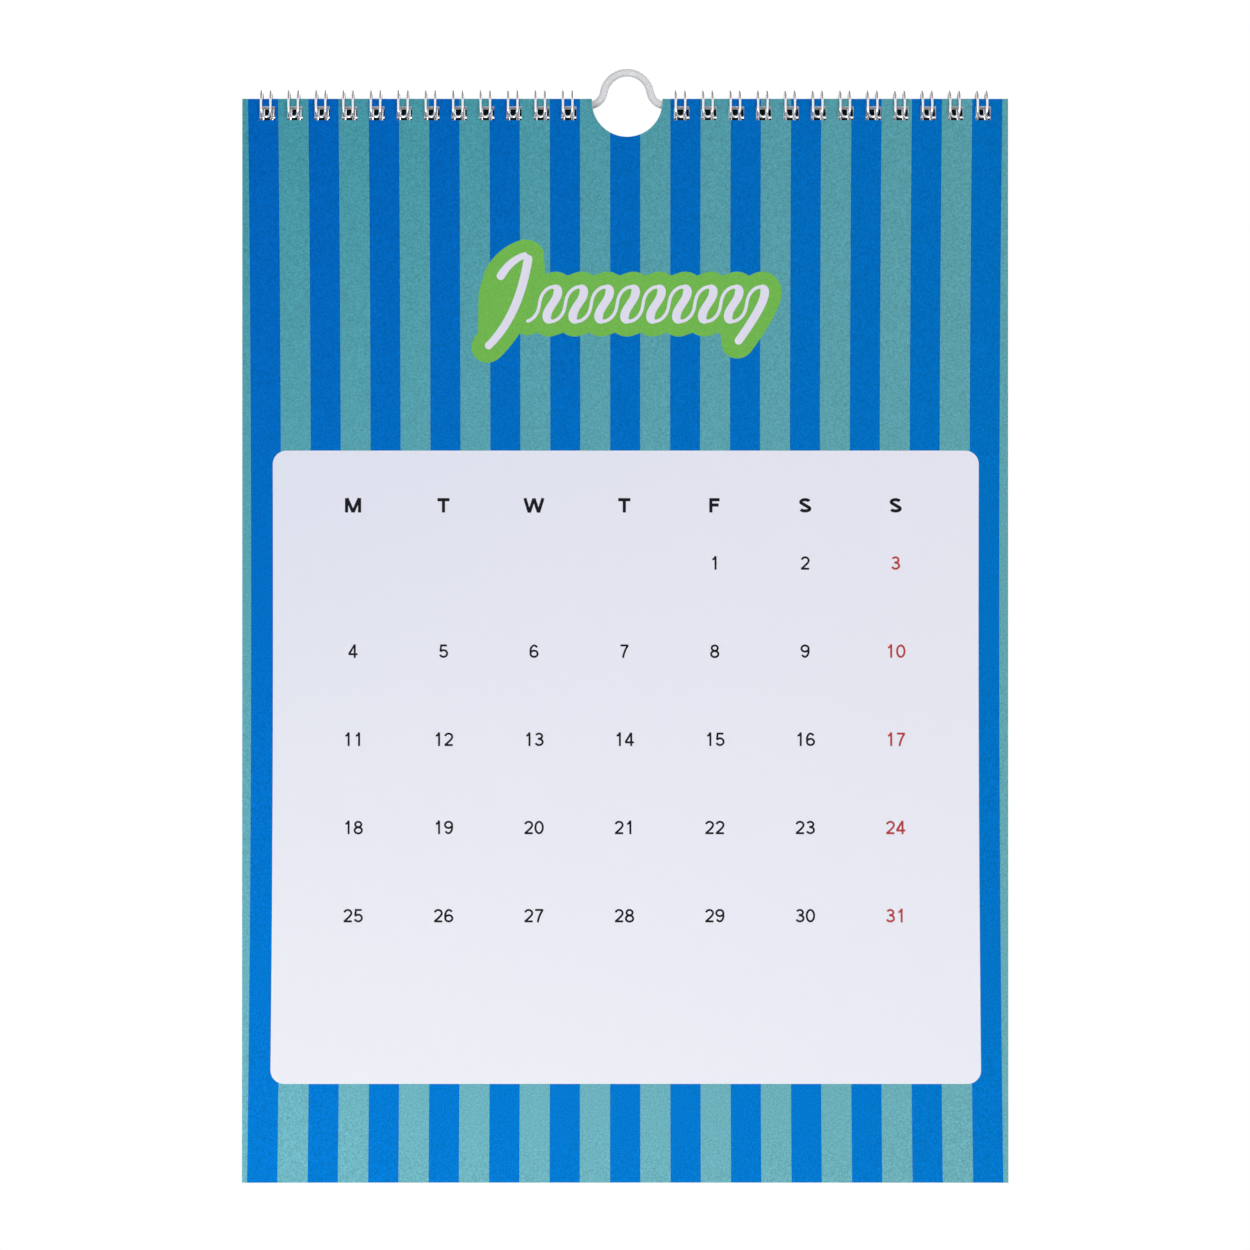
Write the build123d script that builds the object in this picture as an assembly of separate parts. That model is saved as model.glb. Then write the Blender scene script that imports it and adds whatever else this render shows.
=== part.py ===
from build123d import *

import math
import os
from dataclasses import dataclass

# Wall calendar, hung from a nail by a wire hanger. The leaves and a back board are punched along
# the top edge in two groups of holes and held by two combs of twin-loop wire. The combs' seams
# lie behind the front leaf. The hanger's arms lie behind the board, inside the loops, and its
# hump rises through the thumb cut between the combs.
#
# Millimetres. X runs across the page, Y into the wall and Z up. The origin is the point of the
# hump that bears on the nail: the underside of its top, on the middle plane of the hanger's wire.


@dataclass
class Sheet:
    """The outline that every leaf and the board are cut to, and what is punched in it."""

    width: float = 236.5
    height: float = 334.6
    hole_width: float = 4.7
    hole_height: float = 4.3
    hole_margin: float = 2.3  # paper left between the top edge and a hole
    side_margin: float = 4.0  # the least paper left between a side edge and a hole
    thumb_radius: float = 10.9
    thumb_depth: float = 11.7
    thumb_shift: float = 0.6  # how far the thumb cut lies to the right of the page's middle


@dataclass
class Stack:
    """What is bound."""

    leaf: float = 0.17
    rear_leaves: int = 12  # those behind the front one
    board: float = 0.55
    turning_room: float = 0.10  # between the front leaf and what lies behind it as it turns


@dataclass
class Comb:
    """Twin-loop wire, closed into rings."""

    pitch: float = 8.466667  # three loops to the inch
    gap: float = 34.8  # between the nearest holes of the two combs
    wire: float = 0.84
    sides: int = 6  # of the wire's round section, so that the many loops stay light
    ring: float = 8.8  # across a ring, from wire middle to wire middle
    drop: float = 1.62  # from the page's top edge down to the middle of the rings
    strand_gap: float = 2.91  # between the two strands of a loop
    slack: float = 0.34  # how far the loops have slid to the left in their holes
    tip_angle: float = 16.0  # where the strands start to close in, below the ring's front
    tip_curl: float = 40.0
    tip_lean: float = 36.0  # how far that curl leans towards the middle of the loop
    heel_angle: float = 76.0  # where the strands leave the ring behind, below its front
    heel_radius: float = 0.9


@dataclass
class Hanger:
    """The coated wire that takes the nail: a hump between two long arms."""

    wire: float = 2.4
    hump_radius: float = 7.3
    flare_radius: float = 4.85
    rise: float = 8.75  # from the page's top edge up to the hump's middle line
    arm_drop: float = 1.4  # from the page's top edge down to the arms' middle line
    arm_past: float = 4.0  # how far an arm runs on past the last loop
    end_round: float = 0.5
    board_room: float = 0.20  # between the arms and the board, so that the flares swing past it


sheet = Sheet()
stack = Stack()
comb = Comb()
hanger = Hanger()

# Levels
page_top = hanger.wire / 2 - hanger.rise
ring_z = page_top - comb.drop
arm_z = page_top - hanger.arm_drop

# Planes, from the wall side to the front
rear_thick = stack.rear_leaves * stack.leaf
bound_thick = rear_thick + stack.board
board_back = -hanger.wire / 2 - hanger.board_room
board_front = board_back - stack.board
ring_y = board_back - bound_thick / 2

# Along the page: the hump is at X = 0, and a comb has as many loops as the page takes
page_x = -sheet.thumb_shift
first_hole = comb.gap / 2
hole_limit = sheet.width / 2 - sheet.side_margin - sheet.hole_width / 2
loops = 1 + int((hole_limit - first_hole) / comb.pitch)
last_hole = first_hole + (loops - 1) * comb.pitch


def holes(side):
    """The middles of one comb's holes, left (-1) or right (+1), from the page's middle outward."""
    return [side * (first_hole + i * comb.pitch) for i in range(loops)]


def outline():
    """A sheet with its holes and thumb cut, drawn with the middle of its top edge at zero."""
    hanging = (Align.CENTER, Align.MAX)
    page = Rectangle(sheet.width, sheet.height, align=hanging)
    slot = Rectangle(sheet.hole_width, sheet.hole_height, align=hanging)
    page -= [Pos(x, -sheet.hole_margin) * slot for side in (-1, 1) for x in holes(side)]
    middle = sheet.thumb_depth - sheet.thumb_radius
    page -= Pos(sheet.thumb_shift, -middle) * Circle(sheet.thumb_radius)
    page -= Pos(sheet.thumb_shift, 0) * Rectangle(2 * sheet.thumb_radius, 2 * middle)
    return page


def cut_sheets(back, thickness):
    """One sheet, or a block of them, cut to the outline, with its rear face at back."""
    plane = Plane(origin=(page_x, back, page_top), x_dir=(1, 0, 0), z_dir=(0, -1, 0))
    return extrude(plane * outline(), thickness)


def bend(at, heading, toward, radius, angle):
    """An arc of wire that leaves at along heading and curls toward a side.

    Gives the arc, its end and the heading there.
    """

    def after(turned):
        ahead = heading * radius * math.sin(turned)
        return at + ahead + toward * radius * (1 - math.cos(turned))

    arc = ThreePointArc(at, after(angle / 2), after(angle))
    return arc, after(angle), heading * math.cos(angle) + toward * math.sin(angle)


def turn_aside(at, heading, aside, radius):
    """The arc that takes a wire from heading, which may already lean aside, to straight aside."""
    ahead = (heading - aside * heading.dot(aside)).normalized()
    left = math.acos(heading.dot(ahead))
    toward = aside * math.cos(left) - ahead * math.sin(left)
    return bend(at, heading, toward, radius, math.pi / 2 - left)


def on_ring(angle):
    """A strand's place on its ring, so many degrees below the front, and two directions there.

    The directions are down the front and inward. The middle of the loop is at X = 0 and the
    middle of the ring at zero.
    """
    a = math.radians(angle)
    place = Vector(comb.strand_gap / 2, -comb.ring / 2 * math.cos(a), -comb.ring / 2 * math.sin(a))
    return place, Vector(0, math.sin(a), -math.cos(a)), Vector(0, math.cos(a), math.sin(a))


def half_loop():
    """The middle line of the right half of one loop, as edges from the tip to the next loop."""
    right = Vector(1, 0, 0)
    top, down, inward = on_ring(comb.tip_angle)
    foot, foot_down, _ = on_ring(comb.heel_angle)
    back, _, _ = on_ring((comb.tip_angle + comb.heel_angle) / 2 + 180)
    strand = ThreePointArc(top, back, foot)
    # the tip closes in on the loop's middle while it keeps to the ring, then rounds its nose
    lean = math.radians(comb.tip_lean)
    toward = inward * math.cos(lean) - right * math.sin(lean)
    radius = comb.ring / 2 * math.cos(lean)
    closing, end, heading = bend(top, down, toward, radius, math.radians(comb.tip_curl))
    nose_radius = end.X / math.sqrt(1 - heading.X**2)
    nose, _, _ = turn_aside(end, heading, -right, nose_radius)
    # the heel turns into the straight that links this loop with the next
    heel, end, _ = turn_aside(foot, -foot_down, right, comb.heel_radius)
    link = Line(end, Vector(comb.pitch / 2, end.Y, end.Z))
    return [nose, closing, strand, heel, link]


def seam_y():
    """Where the links' middle line lies in front of the middle of the rings."""
    return half_loop()[-1].center().Y


def one_loop():
    """One loop of wire with half of the link on each side of it."""
    path = Wire(half_loop())
    nose = Plane(origin=path @ 1, x_dir=(0, 1, 0), z_dir=path % 1)
    half = sweep(nose * RegularPolygon(comb.wire / 2, comb.sides), path=path)
    return half + mirror(half, about=Plane.YZ)


def wire_comb(side):
    """A whole comb: its loops side by side, joined at their links into one wire."""
    loop = one_loop()
    middle = page_x - comb.slack
    first, *rest = [Pos(middle + x, ring_y, ring_z) * loop for x in holes(side)]
    return first + rest


def half_hanger():
    """The middle line of the right half of the hanger, drawn with X across and Y up."""
    hump_z = page_top + hanger.rise - hanger.hump_radius
    flare_z = arm_z + hanger.flare_radius
    apart = hanger.hump_radius + hanger.flare_radius
    slope = math.asin((flare_z - hump_z) / apart)
    flare_x = apart * math.cos(slope)
    arm = Line((last_hole + hanger.arm_past, arm_z), (flare_x, arm_z))
    tilt = math.degrees(slope)
    flare = CenterArc((flare_x, flare_z), hanger.flare_radius, 270, tilt - 90)
    hump = CenterArc((0, hump_z), hanger.hump_radius, tilt, 90 - tilt)
    return [Plane.XZ * edge for edge in (arm, flare, hump)]


def hanger_wire():
    """The hanger: a rod swept along an arm, a flare and half the hump, and mirrored."""
    path = Wire(half_hanger())
    half = sweep(Plane(origin=path @ 0, z_dir=path % 0) * Circle(hanger.wire / 2), path=path)
    end = half.edges().sort_by(Axis.X)[-1]
    half = fillet(end, hanger.end_round)
    return half + mirror(half, about=Plane.YZ)


def front_back():
    """The rear face of the front leaf: clear of the seam, and of what the leaf turns past."""
    past_seam = -seam_y() + comb.wire / 2
    past_corner = math.hypot(bound_thick / 2, comb.drop)
    return ring_y - max(past_seam, past_corner) - stack.turning_room


nodes = {
    "hanger": hanger_wire(),
    "wire_comb_left": wire_comb(-1),
    "wire_comb_right": wire_comb(1),
    "front_leaf": cut_sheets(front_back(), stack.leaf),
    "rear_leaves": cut_sheets(board_front, rear_thick),
    "backing_board": cut_sheets(board_back, stack.board),
}

os.makedirs("parts", exist_ok=True)
for name, solid in nodes.items():
    export_step(solid, f"parts/{name}.step")
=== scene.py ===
"""A wall calendar hung by a wire hanger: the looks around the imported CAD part.

The calendar is a front leaf, twelve leaves behind it and a back board, held by two combs of twin-loop
wire. The hanger's arms lie in the loops behind the board, and its hump rises through the thumb cut.
Metres, in the part's own frame: X across the page, Y into the wall, Z up. The origin is the underside
of the hump's top, where it bears on the nail.
"""

from __future__ import annotations

import logging
import math
from dataclasses import dataclass, field
from enum import Enum
from typing import Any

import bpy
import numpy as np
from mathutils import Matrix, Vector

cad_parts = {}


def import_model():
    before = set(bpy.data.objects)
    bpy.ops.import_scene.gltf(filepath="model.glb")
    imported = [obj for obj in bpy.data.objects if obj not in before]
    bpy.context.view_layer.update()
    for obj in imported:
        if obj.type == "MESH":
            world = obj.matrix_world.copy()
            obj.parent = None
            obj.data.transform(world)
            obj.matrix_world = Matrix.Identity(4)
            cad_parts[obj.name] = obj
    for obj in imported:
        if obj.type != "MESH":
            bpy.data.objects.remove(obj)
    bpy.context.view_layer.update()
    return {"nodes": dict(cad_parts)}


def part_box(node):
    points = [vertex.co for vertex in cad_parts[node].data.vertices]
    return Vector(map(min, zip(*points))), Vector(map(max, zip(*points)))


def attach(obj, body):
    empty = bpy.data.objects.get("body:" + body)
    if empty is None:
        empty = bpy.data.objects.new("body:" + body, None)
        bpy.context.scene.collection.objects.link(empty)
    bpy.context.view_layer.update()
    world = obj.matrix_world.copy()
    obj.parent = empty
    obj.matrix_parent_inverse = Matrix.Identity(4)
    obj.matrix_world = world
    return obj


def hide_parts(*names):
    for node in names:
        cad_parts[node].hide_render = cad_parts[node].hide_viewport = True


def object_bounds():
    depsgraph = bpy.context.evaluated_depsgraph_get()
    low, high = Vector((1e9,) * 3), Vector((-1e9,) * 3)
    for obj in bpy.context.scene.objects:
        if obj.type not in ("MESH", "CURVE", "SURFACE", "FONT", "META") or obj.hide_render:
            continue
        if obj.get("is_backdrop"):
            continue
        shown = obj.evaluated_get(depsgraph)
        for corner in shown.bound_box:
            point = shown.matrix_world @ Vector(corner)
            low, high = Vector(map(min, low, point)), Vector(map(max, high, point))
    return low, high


MM = 0.001
WHITE = "FFFFFF"
COLOUR_MIX = {"data_type": "RGBA"}
SMOOTH_STEP = {"interpolation_type": "SMOOTHSTEP"}
# turns a place with Y up into one with the distance below
UP_TO_BELOW = np.array([1.0, -1.0])
Pair = tuple[float, float]
Triple = tuple[float, float, float]
Tree = bpy.types.NodeTree
Node = bpy.types.Node
Material = bpy.types.Material
Object = bpy.types.Object
log = logging.getLogger("calendar")


class Side(Enum):
    """The two combs, left and right of the thumb cut."""

    LEFT = -1
    RIGHT = 1


class Cast(Enum):
    """What a wall shows to the camera: plain white, or white with the shade close behind the part."""

    PLAIN = "plain"
    SHADED = "shaded"


def linear(hex_colour: str) -> tuple[float, float, float, float]:
    """Turn an sRGB hex colour to linear light.

    Args:
        hex_colour: six hex digits, such as "E8E4DA".

    Returns:
        Red, green, blue and an alpha of 1, for a colour socket.
    """
    steps = np.array([int(hex_colour[i : i + 2], 16) for i in (0, 2, 4)]) / 255
    light = np.where(steps <= 0.04045, steps / 12.92, ((steps + 0.055) / 1.055) ** 2.4)
    return (*light.tolist(), 1.0)


def add(
    tree: Tree,
    kind: str,
    settings: dict[str, Any] | str | None = None,
    inputs: dict[int | str, Any] | tuple[Any, ...] | None = None,
) -> Node:
    """Add a node to a tree with its settings and links.

    Args:
        tree: the node tree.
        kind: the node's type name.
        settings: the node's own properties, or its operation where that is all.
        inputs: for an input's name or number, the socket to link it to or the value to give it, or
            only these for the first inputs in their order.

    Returns:
        The new node.
    """
    node = tree.nodes.new(kind)
    if isinstance(settings, str):
        settings = {"operation": settings}
    for name, value in (settings or {}).items():
        setattr(node, name, value)
    if isinstance(inputs, tuple):
        inputs = dict(enumerate(inputs))
    for key, value in (inputs or {}).items():
        if isinstance(value, bpy.types.NodeSocket):
            tree.links.new(value, node.inputs[key])
        else:
            node.inputs[key].default_value = value
    return node


def new_tree(owner: Material | bpy.types.World) -> Tree:
    """Give a new material or world its node tree, emptied.

    Args:
        owner: the material or world.

    Returns:
        The tree.
    """
    owner.use_nodes = True
    owner.node_tree.nodes.clear()
    return owner.node_tree


def make_object(
    name: str,
    points: np.ndarray,
    faces: list[list[int]],
    materials: list[Material],
    material_of_face: np.ndarray | None = None,
    smooth: bool = False,
) -> Object:
    """Put points and faces into a new object that sits at the origin.

    Args:
        name: the piece's name.
        points: one row of X, Y and Z for each vertex.
        faces: the vertex numbers of each face, anticlockwise from outside.
        materials: the material slots.
        material_of_face: the slot of each face, or None where all take the first.
        smooth: whether the faces are shaded smooth.

    Returns:
        The object, linked to the scene.
    """
    mesh = bpy.data.meshes.new(name)
    mesh.from_pydata(points.tolist(), [], faces)
    for material in materials:
        mesh.materials.append(material)
    if material_of_face is not None:
        mesh.polygons.foreach_set("material_index", material_of_face.astype(np.int32))
    mesh.polygons.foreach_set("use_smooth", np.full(len(faces), smooth))
    mesh.update()
    made = bpy.data.objects.new(name, mesh)
    bpy.context.scene.collection.objects.link(made)
    return made


@dataclass
class Shell:
    """A closed surface in the making: its points, its faces and which faces look to the front."""

    points: np.ndarray
    faces: np.ndarray
    front: np.ndarray

    @staticmethod
    def joined(shells: list[Shell]) -> Shell:
        """Give several shells as one, each kept whole.

        Args:
            shells: the shells.

        Returns:
            The one that holds them all.
        """
        starts = np.cumsum([0] + [len(shell.points) for shell in shells[:-1]])
        return Shell(
            np.concatenate([shell.points for shell in shells]),
            np.concatenate([shell.faces + start for shell, start in zip(shells, starts)]),
            np.concatenate([shell.front for shell in shells]),
        )


def plate(front: np.ndarray, back: np.ndarray, keep: np.ndarray | None = None, closed: bool = False) -> Shell:
    """Close a thin plate between two grids of points.

    Each kept cell gives a face in front and one behind. A wall joins the two wherever a kept cell has
    no kept neighbour, so the outer edge and each opening are walled all round.

    Args:
        front: the front points, rows running down and columns to the right as seen from the front.
        back: the points behind them.
        keep: which cells are there, or None for all.
        closed: whether the last row joins the first, as in a ring.

    Returns:
        The plate as a closed shell, without unused points.
    """
    rows, columns = front.shape[:2]
    index = np.arange(rows * columns).reshape(rows, columns)
    behind = rows * columns
    if closed:
        index = np.vstack([index, index[:1]])
    if keep is None:
        keep = np.ones((len(index) - 1, columns - 1), bool)
    a, b, c, d = index[:-1, :-1], index[:-1, 1:], index[1:, 1:], index[1:, :-1]
    faces_front = np.stack([a, d, c, b], -1)[keep]
    faces_back = np.stack([a, b, c, d], -1)[keep] + behind
    tall = np.pad(keep, ((1, 1), (0, 0)), mode="wrap" if closed else "constant")
    wide = np.pad(keep, ((0, 0), (1, 1)))
    edges = ((a, b, tall[:-2]), (c, d, tall[2:]), (d, a, wide[:, :-2]), (b, c, wide[:, 2:]))
    walls = [
        np.stack([p, q, q + behind, p + behind], -1)[keep & ~neighbour] for p, q, neighbour in edges
    ]
    faces = np.concatenate([faces_front, faces_back, *walls])
    used, faces = np.unique(faces, return_inverse=True)
    points = np.concatenate([front.reshape(-1, 3), back.reshape(-1, 3)])[used]
    is_front = np.arange(len(faces)) < len(faces_front)
    return Shell(points, faces.reshape(-1, 4), is_front)


@dataclass
class WireRun:
    """Stations along a wire's middle line: their places and headings, one row each."""

    places: np.ndarray
    headings: np.ndarray

    def backward(self) -> WireRun:
        """Give the same run walked the other way."""
        return WireRun(self.places[::-1], -self.headings[::-1])

    def mirrored(self) -> WireRun:
        """Give the run's mirror image in X, walked so that it ends where this one starts."""
        flip = np.array([-1.0, 1.0, 1.0])
        return WireRun(self.places * flip, self.headings * flip).backward()

    @staticmethod
    def chained(runs: list[WireRun]) -> WireRun:
        """Give several runs as one, each joint counted once.

        Args:
            runs: the runs, each starting where the one before it ends.

        Returns:
            The one run.
        """
        places = np.concatenate([run.places[:-1] for run in runs] + [runs[-1].places[-1:]])
        headings = np.concatenate([run.headings[:-1] for run in runs] + [runs[-1].headings[-1:]])
        return WireRun(places, headings)


def arc_run(
    at: np.ndarray,
    heading: np.ndarray,
    toward: np.ndarray,
    radius: float,
    angle: float,
    count: int,
) -> WireRun:
    """Walk an arc of wire that leaves along a heading and curls toward a side.

    After turning by t, the place has moved radius * sin(t) along the heading and
    radius * (1 - cos(t)) toward the side.

    Args:
        at: where the arc starts.
        heading: the unit direction there.
        toward: the unit direction of the arc's middle.
        radius: the arc's radius.
        angle: how far it turns, in radians.
        count: the number of stations.

    Returns:
        The run.
    """
    t = np.linspace(0, angle, count)[:, None]
    places = at + radius * (np.sin(t) * heading + (1 - np.cos(t)) * toward)
    return WireRun(places, np.cos(t) * heading + np.sin(t) * toward)


def tube(
    run: WireRun, lean: np.ndarray, radii: np.ndarray, sides: int
) -> tuple[np.ndarray, list[list[int]]]:
    """Carry a round section along a run of wire and close its two ends.

    At each station the section stands across the heading. Its first spoke is the lean direction made
    square to the heading and its second is square to both, and a point at angle a is
    place + radius * (cos(a) * first + sin(a) * second).

    Args:
        run: the stations.
        lean: for each station a direction that is never along the heading.
        radii: the section's radius at each station.
        sides: the number of points round the section.

    Returns:
        The points and the faces.
    """
    along = run.headings / np.linalg.norm(run.headings, axis=1, keepdims=True)
    first = lean - np.sum(lean * along, axis=1, keepdims=True) * along
    first /= np.linalg.norm(first, axis=1, keepdims=True)
    second = np.cross(along, first)
    a = np.linspace(0, 2 * np.pi, sides, endpoint=False)[None, :, None]
    spokes = np.cos(a) * first[:, None] + np.sin(a) * second[:, None]
    points = run.places[:, None] + radii[:, None, None] * spokes
    index = np.arange(len(points) * sides).reshape(len(points), sides)
    turned = np.roll(index, -1, axis=1)
    quads = np.stack([index[:-1], turned[:-1], turned[1:], index[1:]], -1).reshape(-1, 4)
    faces = [*quads.tolist(), index[0, ::-1].tolist(), index[-1].tolist()]
    return points.reshape(-1, 3), faces


@dataclass(frozen=True)
class Finish:
    """A finish: what the real material is and how its surface was made.

    Attributes:
        name: the material's name.
        colour: its colour as sRGB hex.
        roughness: of its gloss.
        specular: the level of its plain reflection, 0.5 where nothing dims it.
        metallic: 1 for bare metal.
        depth: the height of its relief.
        relief_share: how much of the relief shows.
    """

    name: str
    colour: str
    roughness: float = 0.5
    specular: float = 0.5
    metallic: float = 0.0
    depth: float = 0.0
    relief_share: float = 0.0

    def material(self) -> Material:
        """Make the material.

        Returns:
            The material, with its colour and relief worked out by the finish's own nodes.
        """
        made = bpy.data.materials.new(self.name)
        tree = new_tree(made)
        look = {
            "Base Color": linear(self.colour),
            "Roughness": self.roughness,
            "Specular IOR Level": self.specular,
            "Metallic": self.metallic,
        }
        shader = add(tree, "ShaderNodeBsdfPrincipled", None, look)
        add(tree, "ShaderNodeOutputMaterial", None, {"Surface": shader.outputs[0]})
        self.dress(tree, shader)
        return made

    def dress(self, tree: Tree, shader: Node) -> None:
        """Add the finish's own nodes. A plain finish has none."""

    def relief(self, tree: Tree, shader: Node, height: Any) -> None:
        """Give the surface its relief.

        Args:
            tree: the material's nodes.
            shader: the node that takes the relief.
            height: the socket that holds the height, from 0 to 1.
        """
        shape = {"Height": height, "Distance": self.depth, "Strength": self.relief_share}
        bump = add(tree, "ShaderNodeBump", None, shape)
        tree.links.new(bump.outputs[0], shader.inputs["Normal"])


@dataclass(frozen=True)
class Paper(Finish):
    """Uncoated wood-free paper, calendered: matt, with a fine grain of fibres that mottles it.

    Attributes:
        fibre: the size of the mottling.
        fibre_detail: how many finer sizes it has.
        fibre_roughness: how strong those are.
        mottle: how far the mottling lightens and darkens the colour.
    """

    roughness: float = 0.62
    specular: float = 0.15
    depth: float = 0.012 * MM
    relief_share: float = 0.35
    fibre: float = 0.28 * MM
    fibre_detail: float = 3.0
    fibre_roughness: float = 0.7
    mottle: float = 0.012

    def colour_of(self, tree: Tree, place: Any) -> tuple[Any, Any]:
        """Give the colour before the mottling and how far it is mottled, each a socket or a value."""
        return linear(self.colour)[:3], self.mottle

    def dress(self, tree: Tree, shader: Node) -> None:
        """Mottle the colour and raise the fibres.

        With n the noise, from 0 to 1, the colour is multiplied by 1 + mottle * (n - 0.5).

        Args:
            tree: the material's nodes.
            shader: the node that takes the colour and the relief.
        """
        place = add(tree, "ShaderNodeTexCoord").outputs["Object"]
        colour, mottle = self.colour_of(tree, place)
        fibres = {
            "Vector": place,
            "Scale": 1 / self.fibre,
            "Detail": self.fibre_detail,
            "Roughness": self.fibre_roughness,
        }
        grain = add(tree, "ShaderNodeTexNoise", None, fibres).outputs[0]
        centred = add(tree, "ShaderNodeMath", "SUBTRACT", (grain, 0.5)).outputs[0]
        shade = add(tree, "ShaderNodeMath", "MULTIPLY_ADD", (centred, mottle, 1.0)).outputs[0]
        mottled = add(tree, "ShaderNodeVectorMath", "SCALE", {0: colour, "Scale": shade})
        tree.links.new(mottled.outputs[0], shader.inputs["Base Color"])
        self.relief(tree, shader, grain)


@dataclass(frozen=True)
class Fade:
    """A tint that changes slowly over the page. Its change is painted light, darker at the top left and
    lightest at the bottom left, and in the inks part of it is also the print's own fade.

    Attributes:
        top: its sRGB hex colours at the top left and right.
        bottom: those at the bottom left and right.
    """

    top: tuple[str, str]
    bottom: tuple[str, str]

    def socket(self, tree: Tree, right: Any, down: Any) -> Any:
        """Give the tint's colour.

        Args:
            tree: the material's nodes.
            right: the socket that runs from 0 at the left edge to 1 at the right.
            down: the one that runs from 0 at the top to 1 at the bottom.

        Returns:
            The colour's socket.
        """
        ends = []
        for left_end, right_end in (self.top, self.bottom):
            tints = {"Factor": right, 6: linear(left_end), 7: linear(right_end)}
            ends.append(add(tree, "ShaderNodeMix", COLOUR_MIX, tints).outputs[2])
        tints = {"Factor": down, 6: ends[0], 7: ends[1]}
        return add(tree, "ShaderNodeMix", COLOUR_MIX, tints).outputs[2]


@dataclass(frozen=True)
class StripePrint(Paper):
    """Offset print on the same paper: stripes in two inks round a pale panel with round corners.

    The inks are flat and hardly gloss, so the eye sees clean and deep fields of colour. The press leaves
    a fine speckle in them, drawn coarser than the real 0.2 mm so that it shows. The print is a touch
    narrower at mid height than at the page's two ends.

    Attributes:
        page: the page that it covers.
        stripe: the width of a stripe where the print is narrowest.
        waist: how far below the top edge that is.
        flare: how fast the print widens away from there, per square metre.
        panel_size: the panel's width and height.
        panel_middle: the middle of the panel, across and below the top edge.
        corner: the radius of its corners.
        ink_mottle: how far the speckle lightens and darkens the inks.
        blue: the first stripes' tint, whose fade over the page is partly the print's own and partly painted
            light.
        teal: the other stripes' tint, faded the same way.
        panel: the panel's pale tint, whose fade over the page is painted light.
    """

    specular: float = 0.03
    fibre: float = 0.5 * MM
    page: Page | None = None
    stripe: float = 9.24 * MM
    waist: float = 160 * MM
    flare: float = 0.34
    panel_size: Pair = (217.85 * MM, 195.5 * MM)
    panel_middle: Pair = (0.18 * MM, 206.4 * MM)
    corner: float = 4.25 * MM
    ink_mottle: float = 1.4
    # painted light: each tint is darker at the top left and lightest at the bottom left; the panel's fade is
    # all painted light, the inks' partly print
    blue: Fade = Fade(("0063BD", "006EBF"), ("0081DF", "007BD2"))
    teal: Fade = Fade(("4598A7", "5AA0AA"), ("75BFCC", "70B4BE"))
    panel: Fade = Fade(("DCE1F3", "E7E7F4"), ("F9F9FF", "F5F5FF"))

    def colour_of(self, tree: Tree, place: Any) -> tuple[Any, Any]:
        """Work out the printed fields.

        A place across is first divided by 1 + flare * (below - waist)^2. It is on a teal stripe where
        across / stripe + 0.5 leaves more than 1 when it is divided by 2. It is on the panel where it
        lies no further than the corner's radius from a rectangle that is smaller by that radius.

        Args:
            tree: the material's nodes.
            place: the Object coordinates.

        Returns:
            The socket of the colour and that of the mottling.
        """
        x, _, z = add(tree, "ShaderNodeSeparateXYZ", None, (place,)).outputs
        beside = add(tree, "ShaderNodeMath", "SUBTRACT", (x, self.page.middle)).outputs[0]
        spread = (beside, 1 / self.page.width, 0.5)
        right = add(tree, "ShaderNodeMath", "MULTIPLY_ADD", spread).outputs[0]
        below = add(tree, "ShaderNodeMath", "SUBTRACT", (self.page.top, z)).outputs[0]
        down = add(tree, "ShaderNodeMath", "DIVIDE", (below, self.page.height)).outputs[0]
        from_waist = add(tree, "ShaderNodeMath", "SUBTRACT", (below, self.waist)).outputs[0]
        squared = add(tree, "ShaderNodeMath", "POWER", (from_waist, 2.0)).outputs[0]
        widened = add(tree, "ShaderNodeMath", "MULTIPLY_ADD", (squared, self.flare, 1.0)).outputs[0]
        across = add(tree, "ShaderNodeMath", "DIVIDE", (beside, widened)).outputs[0]

        spread = (across, 1 / self.stripe, 0.5)
        counted = add(tree, "ShaderNodeMath", "MULTIPLY_ADD", spread).outputs[0]
        in_pair = add(tree, "ShaderNodeMath", "FLOORED_MODULO", (counted, 2.0)).outputs[0]
        odd = add(tree, "ShaderNodeMath", "GREATER_THAN", (in_pair, 1.0)).outputs[0]
        # each tint's fade over the page is partly painted light
        blue, teal, pale = [fade.socket(tree, right, down) for fade in (self.blue, self.teal, self.panel)]
        stripes = add(tree, "ShaderNodeMix", COLOUR_MIX, {"Factor": odd, 6: blue, 7: teal}).outputs[2]

        spot = add(tree, "ShaderNodeCombineXYZ", None, (across, below)).outputs[0]
        middle = (*self.panel_middle, 0.0)
        straight = (*[side / 2 - self.corner for side in self.panel_size], 0.0)
        offset = add(tree, "ShaderNodeVectorMath", "SUBTRACT", (spot, middle)).outputs[0]
        folded = add(tree, "ShaderNodeVectorMath", "ABSOLUTE", (offset,)).outputs[0]
        past = add(tree, "ShaderNodeVectorMath", "SUBTRACT", (folded, straight)).outputs[0]
        outside = add(tree, "ShaderNodeVectorMath", "MAXIMUM", (past, (0.0, 0.0, 0.0))).outputs[0]
        away = add(tree, "ShaderNodeVectorMath", "LENGTH", (outside,)).outputs["Value"]
        inside = add(tree, "ShaderNodeMath", "LESS_THAN", (away, self.corner)).outputs[0]
        fields = add(tree, "ShaderNodeMix", COLOUR_MIX, {"Factor": inside, 6: stripes, 7: pale})
        change = (inside, self.mottle - self.ink_mottle, self.ink_mottle)
        return fields.outputs[2], add(tree, "ShaderNodeMath", "MULTIPLY_ADD", change).outputs[0]


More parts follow.
